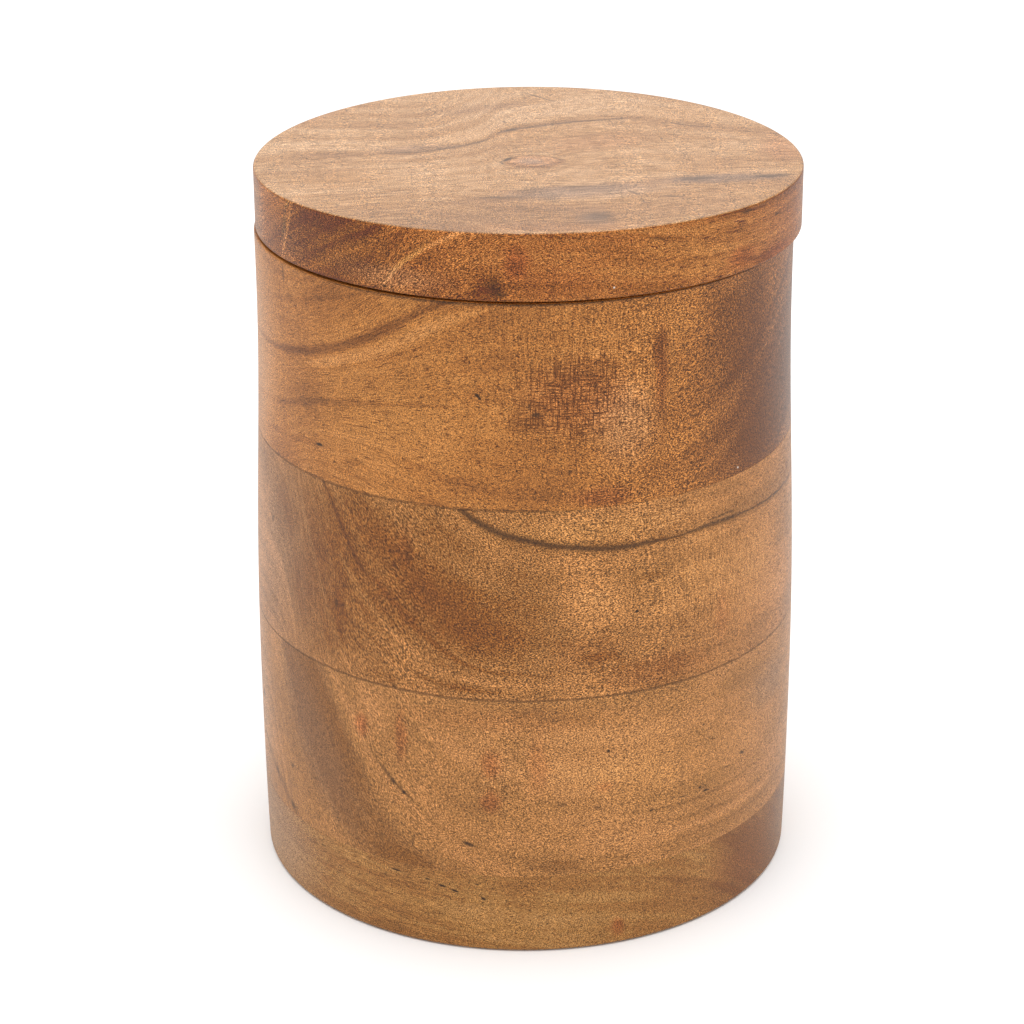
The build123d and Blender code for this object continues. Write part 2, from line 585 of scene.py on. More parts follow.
# The figure of each board, read off the photograph. Where the photograph doesn't show it, round the
# back, the guides only close the circle.
upper_shades = (
    "653812", "764417", "855224", "955c28", "a3672e", "ac7035", "b3763b", "b97c42", "be8348",
)
upper_figure = Figure(
    reach=half_round,
    guides=(
        (
            (-half_round, 136), (-120, 124), (-76, 117.8), (-60, 118.8), (-50, 121), (-40, 124.2),
            (-30, 128.7), (-22, 133.4), (-13, 137.8), (0, 141), (20, 140), (32, 140), (45, 144),
            (60, 151), (76, 160), (120, 158), (half_round, 136),
        ),
        (
            (-half_round, 112), (-120, 106), (-76, 105), (-60, 107.6), (-50, 110.8), (-40, 113),
            (-30, 114.6), (-20, 115.7), (0, 116.3), (20, 114), (32, 114.5), (45, 119), (60, 127),
            (76, 136), (120, 130), (half_round, 112),
        ),
    ),
    grain_turn=52,
    gloss=0.4,
    ramp=upper_shades,
    contrast=0.48,
    fineness=0.95,
    pores=0.6,
    speckle=1.9,
    shades=(
        Spot(74, 114, 56, 46, 0, -0.44, 0.0),
        Spot(56, 106, 32, 20, 35, -0.34, 0.0),
        Spot(46, 126, 24, 15, 30, -0.2, 0.0),
        # Paler towards the far left edge: partly painted sheen
        Spot(-72, 116, 16, 30, 0, 0.34),
        Spot(-34, 116, 40, 24, 0, 0.06),
        Spot(40, 133, 9, 6, 0, -0.12),
        Spot(19, 113, 9, 11, 0, 0.1),
        Spot(27.5, 122, 2.4, 12, 0, -0.2),
        Spot(27.5, 127.5, 3.2, 4.5, 0, -0.2),
        Spot(12, 121, 10, 6, 0, -0.16),
        Spot(3, 122, 5, 3, 0, -0.1),
        Spot(0, 113.5, 5, 3, 0, -0.12),
        Spot(16, 117, 5, 4, 0, -0.08),
        Spot(1, 115, 6, 5, 0, -0.12),
        Spot(-28, 107, 32, 9, 12, 0.08),
        Spot(-38, 134, 16, 5, 20, -0.1),
        Spot(-55, 112, 12, 8, 20, -0.06),
        Spot(16, 98, 10, 2.6, 0, -0.1),
    ),
    bands=(
        Stroke(-0.34, 0.0, (
            (-84, 117, -0.1), (-76, 117.8, 0.7), (-60, 118.9, 1.3), (-50, 121, 1.7), (-40, 124.3, 1.8),
            (-30, 128.7, 1.9), (-22, 133.4, 1.5), (-13, 137.8, 1.0),
        )),
        Stroke(0.26, 0.2, (
            (-54, 117.6, -0.1), (-45, 119.9, 1.5), (-30, 125.3, 2.0), (-22, 129.3, 2.1),
            (-14, 133.4, 1.9), (-4, 136.5, -0.1),
        )),
        Stroke(-0.2, 0.0, (
            (-84, 103.6, -0.1), (-76, 105, 1.2), (-60, 107.6, 1.3), (-50, 110.8, 1.5), (-40, 113, 1.2),
            (-30, 114.6, 1.0), (-20, 115.7, 0.9), (-8, 116.2, -0.1),
        )),
        Stroke(-0.12, 0.0, ((-74, 99.5, -0.1), (-60, 101.2, 1.1), (-40, 103.2, 0.9), (-28, 104, -0.1))),
        Stroke(-0.1, 0.0, ((-76, 125.5, -0.1), (-60, 129, 0.9), (-40, 134, 1.0), (-30, 137, 0.6))),
        Stroke(0.09, 0.0, (
            (34, 98, -0.1), (44, 103, 2.4), (56, 110.4, 3.0), (68, 119, 2.4), (80, 128, -0.1),
        )),
        Stroke(-0.14, 0.0, (
            (30, 108, -0.1), (40, 112.6, 1.6), (52, 119.4, 2.2), (64, 127.6, 1.8), (76, 136, 1.0),
        )),
        Stroke(-0.2, 0.0, ((54, 99.5, -0.1), (62, 104, 1.1), (70, 108.8, 1.2), (80, 115, -0.1))),
        Stroke(-0.2, 0.0, ((54, 122, -0.1), (62, 126.6, 0.8), (70, 131.2, 0.8), (78, 136, -0.1))),
    ),
    lines=(
        Stroke(0.75, 0.0, (
            (-88, 95.85, -0.1), (-70, 95.85, 0.25), (-30, 95.85, 0.28), (2, 95.85, 0.22),
            (9, 95.85, -0.1),
        )),
        # Painted shadow: this dark line on the rim's top edge stands for the shade in the gap under the lid
        Stroke(0.8, 0.3, (
            (-88, 137, -0.1), (-70, 137, 0.1), (-50, 137, 0.35), (-25, 136.9, 0.85), (5, 136.9, 0.8),
            (40, 136.9, 0.45), (80, 136.9, 0.2),
        )),
    ),
    marks=(
        Spot(-9.5, 118.6, 0.9, 0.5, -40, 0.75),
        Spot(-9.0, 118.0, 0.5, 0.4, 0, 0.7),
        Spot(-46, 102.8, 1.7, 0.5, 6, 0.7),
        Spot(2, 115, 1.3, 0.7, 0, 0.5),
        Spot(0.6, 116.6, 0.6, 1.0, 0, 0.45),
        Spot(8.5, 103.5, 0.6, 0.6, 0, 0.5),
        Spot(-58, 134.5, 0.5, 3.2, 4, 0.4),
    ),
    reds=(
        Spot(10, 118, 15, 10, 0, 0.28),
        Spot(15, 98, 9, 3, 0, 0.4),
        Spot(63, 114, 7, 9, 10, 0.15),
        Spot(27.5, 122, 2.4, 12, 0, 0.3),
    ),
    golds=(Spot(-36, 112, 34, 12, 10, 0.15),),
    # The first two greys, at the far left and right edges, are painted sheen, the right one partly
    # grey-brown wood
    greys=(
        Spot(-80, 117, 22, 32, 0, 0.2),
        Spot(78, 112, 26, 32, 0, 0.3),
        Spot(20, 112, 10, 12, 0, 0.14),
    ),
    hatches=(
        Spot(8, 117, 19, 12, 0, 3.4, 0.3),
        Spot(15, 98, 13, 3.6, 0, 2.0),
        Spot(20, 124, 14, 16, 0, 0.8),
    ),
    combed=(
        Spot(10, 130, 34, 12, 0, 0.9),
        Spot(22, 115, 12, 25, 0, 0.9),
    ),
    flecks=(Spot(48, 97, 0.3, 0.3, 0, 0.55),),
)

middle_shades = (
    "713f15", "7f4b16", "895726", "91602e", "9b6837", "aa713b", "b47a44", "bc834b", "c28a52",
)
middle_figure = Figure(
    reach=half_round,
    guides=(
        (
            (-half_round, 128), (-110, 150), (-60, 140), (-44, 126), (-30, 111), (-20, 101.5),
            (-12.5, 95.6), (-8, 92.6), (0, 89.8), (10, 87.9), (20, 87.1), (35, 87.3), (50, 86.8),
            (76, 86.3), (110, 92), (half_round, 128),
        ),
        (
            (-half_round, 96), (-110, 130), (-60, 122), (-50, 106), (-44, 95), (-40, 88.5), (-35, 81.5),
            (-30, 76.3), (-25, 71.6), (-20, 67.5), (-15, 64.2), (-10, 62), (0, 60.6), (20, 60),
            (50, 59.5), (76, 59), (110, 66), (half_round, 96),
        ),
    ),
    grain_turn=-6,
    gloss=0.4,
    ramp=middle_shades,
    contrast=0.55,
    fineness=0.85,
    pores=0.45,
    speckle=1.7,
    shades=(
        Spot(-60, 85, 9, 11, 0, -0.14),
        Spot(-40, 78, 26, 26, 0, -0.26),
        Spot(-10, 75, 28, 18, 0, -0.24),
        Spot(-33, 91, 15, 9, -40, -0.2),
        Spot(-19, 92, 16, 6, -30, -0.16),
        Spot(46, 76, 30, 24, 0, 0.1),
        Spot(12, 84, 16, 16, 0, 0.08),
        Spot(-76, 76, 10, 24, 0, 0.1),
        Spot(-52, 69, 8, 10, 0, -0.16),
        Spot(-45, 62, 9, 6, 0, -0.1),
        Spot(-40, 71, 2.4, 12, 0, -0.14),
        Spot(-20, 82, 17, 13, -30, -0.13),
        Spot(-8, 68.5, 15, 5.5, -12, -0.15),
        Spot(12, 74, 10, 8, 0, 0.16),
        Spot(14, 91.5, 40, 3.8, 0, 0.08),
        Spot(50, 78, 32, 7, 0, 0.12),
        Spot(62, 68, 24, 12, 0, 0.08),
        Spot(25, 80, 6, 1.6, 0, -0.2),
        Spot(14, 64.5, 8, 1.3, 0, -0.25),
        Spot(36, 66, 10, 9, 0, -0.06),
        Spot(-20, 58.5, 20, 2.5, 0, -0.12),
    ),
    bands=(
        Stroke(-0.26, 0.0, (
            (-47, 99, 0.5), (-44, 94.8, 2.2), (-40, 88.3, 2.2), (-35, 81, 1.8), (-31, 77, -0.1),
        )),
        Stroke(-0.22, 0.0, (
            (-34, 80.5, -0.1), (-30, 77.3, 1.6), (-25, 72.8, 1.8), (-20, 68.8, 1.5), (-15, 65.3, 1.2),
            (-10, 63, 0.9), (0, 61.8, 0.6), (12, 61, -0.1),
        )),
        Stroke(0.15, 0.0, (
            (-42, 84, -0.1), (-36, 76.5, 2.6), (-30, 70.5, 2.1), (-25, 66.4, 2.0), (-20, 63.2, 1.6),
            (-15, 61, 1.3), (-8, 60, 1.0), (0, 59.6, 0.7), (12, 59.4, -0.1),
        )),
        Stroke(-0.18, 0.0, (
            (-37, 70, -0.1), (-30, 64.5, 1.2), (-22, 60.4, 1.1), (-14, 58.4, 0.9), (4, 57.8, -0.1),
        )),
        Stroke(-0.2, 0.0, (
            (-15, 97, 1.0), (-12.5, 95.3, 2.0), (-8, 92.5, 2.2), (0, 89.8, 2.2), (10, 87.9, 2.0),
            (20, 87.1, 1.8), (33, 87.1, 1.0), (50, 87, 1.2), (76, 86.3, 0.8), (112, 87, -0.1),
        )),
    ),
    lines=(
        Stroke(0.8, 0.1, (
            (-15, 97, 0.6), (-12.5, 95.4, 1.2), (-8, 92.5, 1.3), (0, 89.8, 1.1), (10, 87.9, 1.0),
            (20, 87.1, 1.0), (26, 87.15, 0.6), (32, 87.2, 0.25), (35, 87.4, 0.5), (41, 87.6, 0.8),
            (46, 87.3, 0.7), (52, 87, 0.3), (60, 86.7, 0.4), (70, 86.4, 0.35), (80, 86.2, -0.1),
        )),
        Stroke(0.42, 0.0, (
            (-47, 99, -0.1), (-44, 94.6, 1.1), (-40, 88.2, 1.1), (-35, 80.9, 0.9), (-31, 76.8, -0.1),
        )),
        Stroke(0.7, 0.1, ((37.5, 88.5, -0.1), (40, 88.55, 0.4), (45, 88.65, 0.4), (47.5, 88.4, -0.1))),
        Stroke(0.6, 0.0, ((-88, 95.6, -0.1), (-70, 95.6, 0.2), (2, 95.6, 0.2), (9, 95.6, -0.1))),
        Stroke(0.7, 0.0, ((-88, 56.4, 0.15), (-40, 56.4, 0.26), (20, 56.4, 0.26), (88, 56.4, 0.2))),
    ),
    marks=(
        Spot(22, 73.4, 0.8, 0.45, 20, 0.7),
        Spot(-65, 81, 1.4, 1.0, 20, 0.35),
        Spot(-41, 71, 0.8, 1.4, 0, 0.4),
    ),
    reds=(
        Spot(-24.5, 87, 3, 5.5, 0, 0.15),
        Spot(43, 68, 3, 8, 0, 0.2),
        Spot(28, 60, 18, 5, 0, 0.2),
        Spot(12, 66, 10, 5, 0, 0.12),
    ),
    golds=(
        Spot(45, 78, 40, 14, 0, 0.2),
        Spot(10, 91, 26, 4, 0, 0.25),
    ),
    # Both greys lie at the far edges: painted sheen, and in the left one the wood's own olive-brown too
    greys=(
        Spot(-62, 76, 26, 30, 0, 0.3, 0.0),
        Spot(84, 76, 14, 30, 0, 0.12),
    ),
    hatches=(
        Spot(24, 91.5, 24, 4, 0, 2.4),
        Spot(20, 62, 16, 5, 0, 1.6),
    ),
    combed=(
        Spot(38, 76, 32, 20, 0, 1.2),
        Spot(-40, 72, 4, 14, 0, 0.8),
    ),
)

lower_shades = (
    "7e4f20", "85572a", "8e5f31", "986736", "a36f3a", "ac7542", "b37b46", "b9814b", "bd8751",
)
lower_figure = Figure(
    reach=half_round,
    guides=(
        (
            (-half_round, 70), (-110, 90), (-60, 76), (-44, 60), (-38, 50), (-33, 42), (-29, 37.2),
            (-24, 32.6), (-20, 29), (-13, 25), (-5, 22.5), (5, 20.5), (20, 19), (45, 18.5), (76, 19),
            (110, 30), (half_round, 70),
        ),
        (
            (-half_round, 40), (-110, 64), (-72, 62), (-62, 50), (-56, 38), (-50, 29), (-42, 18),
            (-36, 10), (-25, 3), (-10, -3), (5, -6), (20, -8), (45, -9), (76, -8), (110, 2),
            (half_round, 40),
        ),
    ),
    grain_turn=-2,
    gloss=0.4,
    ramp=lower_shades,
    contrast=0.6,
    fineness=0.85,
    pores=0.6,
    speckle=1.2,
    shades=(
        Spot(-33, 49, 7, 8, -20, 0.14),
        Spot(14, 38, 22, 20, 0, 0.2),
        Spot(-48, 38, 16, 26, 30, -0.24),
        Spot(-20, 38, 18, 16, 0, -0.06),
        Spot(-18, 36, 14, 16, -30, 0.05),
        Spot(40, 40, 30, 11, 0, 0.1),
        Spot(-19, 19, 17, 2.6, -4, -0.16),
        Spot(6, 19.5, 7, 1.8, 0, -0.2),
        Spot(61, 46, 12, 6, 0, -0.22),
        Spot(-72, 30, 14, 12, -40, 0.05),
        Spot(8, 33, 10, 3, 0, -0.08),
        Spot(26, 53, 16, 3, 0, 0.06),
        Spot(-6, 53, 20, 3, 0, -0.04),
    ),
    bands=(
        Stroke(-0.34, 0.45, (
            (-68, 74, 6), (-62, 67, 12), (-56, 57, 16), (-50, 48, 17), (-45, 41, 17.5), (-40, 32, 17),
            (-36, 26, 16), (-30, 18, 15), (-22, 11, 13), (-12, 5, 12), (5, 0, 10),
        )),
        Stroke(-0.3, 0.0, (
            (-82, 32, -0.1), (-75, 28, 1.4), (-69, 25, 2.0), (-65, 23, 2.2), (-60, 20, 2.2),
            (-56, 17.5, 2.0), (-50, 13, 0.5),
        )),
        Stroke(-0.16, 0.0, (
            (-36, 47, -0.1), (-33, 42, 1.4), (-29, 37.2, 1.3), (-24, 32.6, 1.1), (-20, 29, 1.0),
            (-13, 25, 0.9), (-5, 22.5, 0.8), (5, 20.5, 0.6), (14, 19.6, -0.1),
        )),
        Stroke(-0.2, 0.0, (
            (14, 30.4, -0.1), (24, 29.2, 0.6), (36, 28.8, 0.7), (50, 29.4, 0.6), (60, 30.5, -0.1),
        )),
        Stroke(-0.16, 0.0, ((20, 26.6, -0.1), (34, 25.4, 0.6), (50, 24.8, 0.5), (64, 25.6, -0.1))),
        Stroke(-0.16, 0.0, ((26, 21.8, -0.1), (40, 20.8, 0.5), (56, 20.9, 0.5), (68, 21.8, -0.1))),
        Stroke(0.16, 0.2, ((18, 24, -0.1), (36, 23, 1.0), (56, 22.8, 0.9), (68, 23.6, -0.1))),
    ),
    lines=(
        Stroke(0.7, 0.0, ((-88, 56.2, 0.15), (-40, 56.2, 0.26), (20, 56.2, 0.26), (88, 56.2, 0.2))),
        Stroke(0.6, 0.0, (
            (-31, 39.4, -0.1), (-29, 37.2, 1.3), (-26, 34.4, 0.6), (-24.5, 33.2, 0.7),
            (-22, 31.2, -0.1),
        )),
    ),
    marks=(
        Spot(-11.6, 24.2, 2.1, 0.6, -20, 0.6),
        Spot(-27.5, 35.6, 1.0, 0.6, -45, 0.5),
        Spot(-25.2, 33.6, 0.7, 0.5, -30, 0.7),
        Spot(16.2, 44.2, 0.5, 0.5, 0, 0.75),
        Spot(-76, 37, 1.6, 1.6, 40, 0.5),
        Spot(-57.5, 28.6, 0.9, 0.7, 40, 0.5),
        Spot(-66, 23.5, 1.6, 0.8, -30, 0.4),
        Spot(-58, 19, 1.6, 0.8, -40, 0.4),
        Spot(37.4, 30.9, 0.6, 0.5, 0, 0.7),
        Spot(39, 29.8, 1.1, 0.4, 0, 0.7),
        Spot(50, 34.2, 1.4, 0.6, -25, 0.6),
        Spot(45, 33, 1.6, 0.35, 0, 0.45),
        Spot(25.6, 29.2, 0.9, 0.3, 0, 0.6),
        Spot(33, 30.3, 1.2, 0.3, 0, 0.5),
        Spot(14, 32, 1.4, 0.6, -10, 0.4),
        Spot(7, 33.4, 1.4, 0.6, 10, 0.4),
        Spot(38, 45, 0.5, 0.4, 0, 0.5),
        Spot(57, 24.6, 0.8, 0.3, 0, 0.5),
    ),
    reds=(
        Spot(-34.8, 46.2, 2.7, 4.2, 0, 0.55),
        Spot(-25.4, 46, 1.9, 8, 0, 0.42),
        Spot(-7, 42.4, 3.2, 4.4, 0, 0.42),
        Spot(-7.2, 34, 2.9, 3.6, 0, 0.5),
        Spot(2, 42, 3, 9, 0, 0.22),
        Spot(15.5, 36.4, 3, 1.8, 0, 0.3),
        Spot(-2, 52, 30, 4, 0, 0.12),
    ),
    golds=(Spot(34, 36, 34, 14, 0, 0.24),),
    greys=(
        Spot(-48, 38, 10, 26, 32, 0.2),
        Spot(61, 46, 13, 7, 0, 0.2),
        # These two greys, at the far left and right edges, are painted sheen
        Spot(-80, 34, 18, 30, 0, 0.25),
        Spot(86, 36, 18, 30, 0, 0.2),
    ),
    hatches=(
        Spot(-35, 46, 3.4, 5, 0, 2.8),
        Spot(-7, 39, 5, 9, 0, 2.4),
        Spot(0, 51, 22, 4, 0, 1.2),
    ),
    combed=(
        Spot(-25, 45, 3, 9, 0, 0.9),
        Spot(0, 42, 12, 12, 0, 0.5),
    ),
)

base_shades = ("78491e", "7f5126", "87592b", "8f5f2d", "976633", "9d6f39", "a3743f", "a87944", "ac7e49")
base_figure = Figure(
    reach=half_round,
    guides=(
        (
            (-half_round, 12), (-120, 13), (-76, 13), (-40, 12.6), (-20, 11.2), (0, 9), (20, 6.5),
            (35, 2), (48, -6), (60, -16), (76, -26), (120, -20), (half_round, 12),
        ),
        (
            (-half_round, -2), (-120, -1), (-76, -1), (-40, -1.4), (-20, -3), (0, -5.5), (20, -8),
            (35, -13), (48, -22), (60, -32), (76, -42), (120, -36), (half_round, -2),
        ),
    ),
    grain_turn=58,
    gloss=0.4,
    ramp=base_shades,
    contrast=0.9,
    fineness=1.0,
    pores=1.0,
    speckle=0.6,
    shades=(
        Spot(-6, 7, 26, 8, -8, 0.2),
        Spot(-56, 8, 26, 14, 0, 0.14),
        Spot(12, 8, 18, 12, 0, 0.16),
        Spot(62, 9, 28, 18, 0, -0.44),
        Spot(50, 5, 12, 7, -30, -0.12),
        Spot(-22, 12, 16, 3, -6, -0.08),
        Spot(-30, 1.6, 24, 1.6, -4, -0.1),
        Spot(20, 16, 24, 2, 0, -0.08),
        Spot(-46, 8, 3, 9, -25, -0.08),
    ),
    bands=(
        Stroke(-0.24, 0.0, ((36, 23, 0.5), (45, 17, 2.6), (55, 11, 2.8), (65, 5, 2.4), (74, -1, 0.5))),
        Stroke(-0.18, 0.0, ((22, 16, -0.1), (34, 10, 1.8), (46, 4, 2.0), (56, -1, 0.5))),
        Stroke(0.12, 0.2, ((30, 19, 0.5), (42, 12, 2.2), (54, 5, 2.2), (62, 0, 0.5))),
        Stroke(-0.14, 0.0, ((-52, 9.8, -0.1), (-42, 10.4, 0.5), (-32, 9.6, 0.5), (-22, 8.6, -0.1))),
        Stroke(-0.14, 0.0, ((-44, 5.6, -0.1), (-30, 5.8, 0.6), (-16, 4.4, 0.5), (0, 2.6, -0.1))),
        Stroke(-0.14, 0.0, ((-38, 3, -0.1), (-24, 3.2, 0.5), (-10, 1.6, 0.4), (4, 0.4, -0.1))),
    ),
    marks=(
        Spot(-27.5, 15.4, 1.8, 0.35, -6, 0.7),
        Spot(-17.3, 13.9, 1.4, 0.35, -14, 0.8),
        Spot(-14.6, 13.2, 1.2, 0.4, -16, 0.8),
        Spot(-8.8, 11.9, 0.8, 0.4, -20, 0.75),
        Spot(-20.4, 14.9, 0.9, 0.4, 0, 0.6),
        Spot(-10, 15.1, 0.6, 0.4, 0, 0.55),
        Spot(-7, 14.5, 0.5, 0.35, 0, 0.5),
        Spot(0.4, 9.6, 0.5, 0.35, 0, 0.5),
        Spot(4, 6.4, 0.5, 0.35, 0, 0.5),
        Spot(-47, 14.6, 1.2, 0.3, 0, 0.4),
        Spot(9, 14, 0.5, 0.4, 0, 0.4),
    ),
    reds=(
        Spot(18.5, 4, 2.0, 2.8, 0, 0.6),
        Spot(52, 6, 14, 8, -30, 0.18),
    ),
    golds=(Spot(-18, 8, 30, 9, 0, 0.2),),
    # Both greys lie at the far edges: painted sheen, and in the left one the wood's own olive-tan too
    greys=(
        Spot(-66, 9, 24, 16, 0, 0.35),
        Spot(76, 10, 18, 16, 0, 0.3),
    ),
)

lid_side_shades = (
    "5c2715", "663215", "743f15", "834d1b", "945824", "9f602c", "a76a32", "b17239", "bc7c44",
)
lid_side_figure = Figure(
    reach=half_round,
    guides=(
        (
            (-half_round, 130), (-120, 118), (-76, 118), (-60, 124), (-40, 134), (-28, 140),
            (-25, 143.4), (-20, 147), (-13, 150.6), (-2, 153), (14, 152), (28, 150), (45, 149),
            (76, 148), (120, 144), (half_round, 130),
        ),
        (
            (-half_round, 118), (-120, 106), (-76, 106), (-60, 112), (-40, 122), (-28, 128), (-25, 131),
            (-20, 134), (-13, 137.6), (-2, 140), (14, 139), (28, 137.4), (45, 137), (76, 136),
            (120, 132), (half_round, 118),
        ),
    ),
    grain_turn=-42,
    gloss=0.35,
    ramp=lid_side_shades,
    contrast=0.8,
    fineness=1.2,
    pores=0.8,
    speckle=2.6,
    shades=(
        Spot(-44, 144, 34, 12, 0, -0.3),
        Spot(-14, 141, 12, 6, 0, -0.06),
        Spot(-27, 140.4, 17, 3.4, 0, 0.05),
        Spot(-40, 148.5, 18, 3.6, 0, -0.16),
        Spot(-8, 140, 5, 4, 40, -0.2),
        Spot(30, 144, 44, 12, 0, 0.15),
        Spot(52, 139, 14, 2.2, 0, -0.12),
        Spot(6, 148, 14, 4, 0, 0.04),
        Spot(-16, 141, 9, 4, 0, 0.04),
    ),
    bands=(
        Stroke(0.34, 0.1, (
            (-60.5, 136, -0.1), (-58, 140, 2.0), (-56, 145, 2.4), (-54, 150, 2.0), (-52.5, 153, -0.1),
        )),
        Stroke(0.5, 0.1, (
            (-30.5, 137.6, -0.1), (-28, 140, 1.1), (-25, 143.5, 1.2), (-20, 147, 1.0),
            (-13, 150.6, 0.9), (-9, 152, -0.1),
        )),
        Stroke(-0.25, 0.0, ((18, 149.4, -0.1), (22, 148.8, 0.5), (28, 147.6, 0.6), (34, 146.4, -0.1))),
        Stroke(-0.22, 0.0, ((42, 149.9, -0.1), (46, 149.5, 0.5), (52, 149, 0.4), (56, 148.8, -0.1))),
        Stroke(-0.14, 0.0, ((8, 146, -0.1), (20, 144.6, 0.5), (34, 142.6, 0.5), (44, 141.4, -0.1))),
        Stroke(0.14, 0.2, ((14, 146.6, -0.1), (26, 145.6, 1.0), (40, 143.6, 1.2), (56, 142.6, -0.1))),
        # Painted shade: the lid's lower edge darkened, most at the left, as shade falls into the gap over
        # the rim
        Stroke(-0.2, 0.0, ((-88, 137.5, 0.9), (-40, 137.5, 0.7), (0, 137.5, 0.3), (88, 137.5, 0.3))),
    ),
    marks=(
        Spot(-6.8, 140.2, 2.6, 2.4, -55, 0.36),
        Spot(-5.4, 138.6, 1.5, 0.8, 0, 0.4),
        Spot(-28.8, 138.4, 1.0, 0.4, 0, 0.6),
        Spot(47.5, 149.2, 2.6, 0.6, 0, 0.4),
        Spot(58.5, 146, 1.6, 0.4, 0, 0.5),
        Spot(25, 147.8, 3.4, 0.4, -14, 0.4),
        Spot(10.5, 147.6, 1.2, 0.4, -10, 0.35),
    ),
    reds=(
        Spot(-2.6, 145, 3.2, 4.8, 0, 0.75),
        Spot(46, 140.5, 6, 3, 0, 0.7),
        Spot(58, 138.8, 13, 1.8, 0, 0.75),
        Spot(4, 141, 12, 4, 0, 0.2),
    ),
    golds=(
        Spot(-42, 144, 26, 10, 0, 0.24),
        Spot(-24, 144.4, 9, 1.0, 44, 0.5),
        Spot(-57.5, 144.5, 4.4, 1.0, 78, 0.6),
        Spot(-56, 149, 2.6, 0.9, 50, 0.6),
        Spot(36, 144, 30, 8, 0, 0.2),
    ),
    greys=(
        # These two greys, at the far left and right edges, are painted sheen
        Spot(-76, 144, 10, 12, 0, 0.35),
        Spot(84, 144, 16, 12, 0, 0.25),
        Spot(-28, 140.4, 18, 3.8, 0, 0.16),
        Spot(-60, 141, 14, 6, 0, 0.12),
    ),
    flecks=(Spot(16, 139.5, 0.28, 0.28, 0, 0.5),),
)

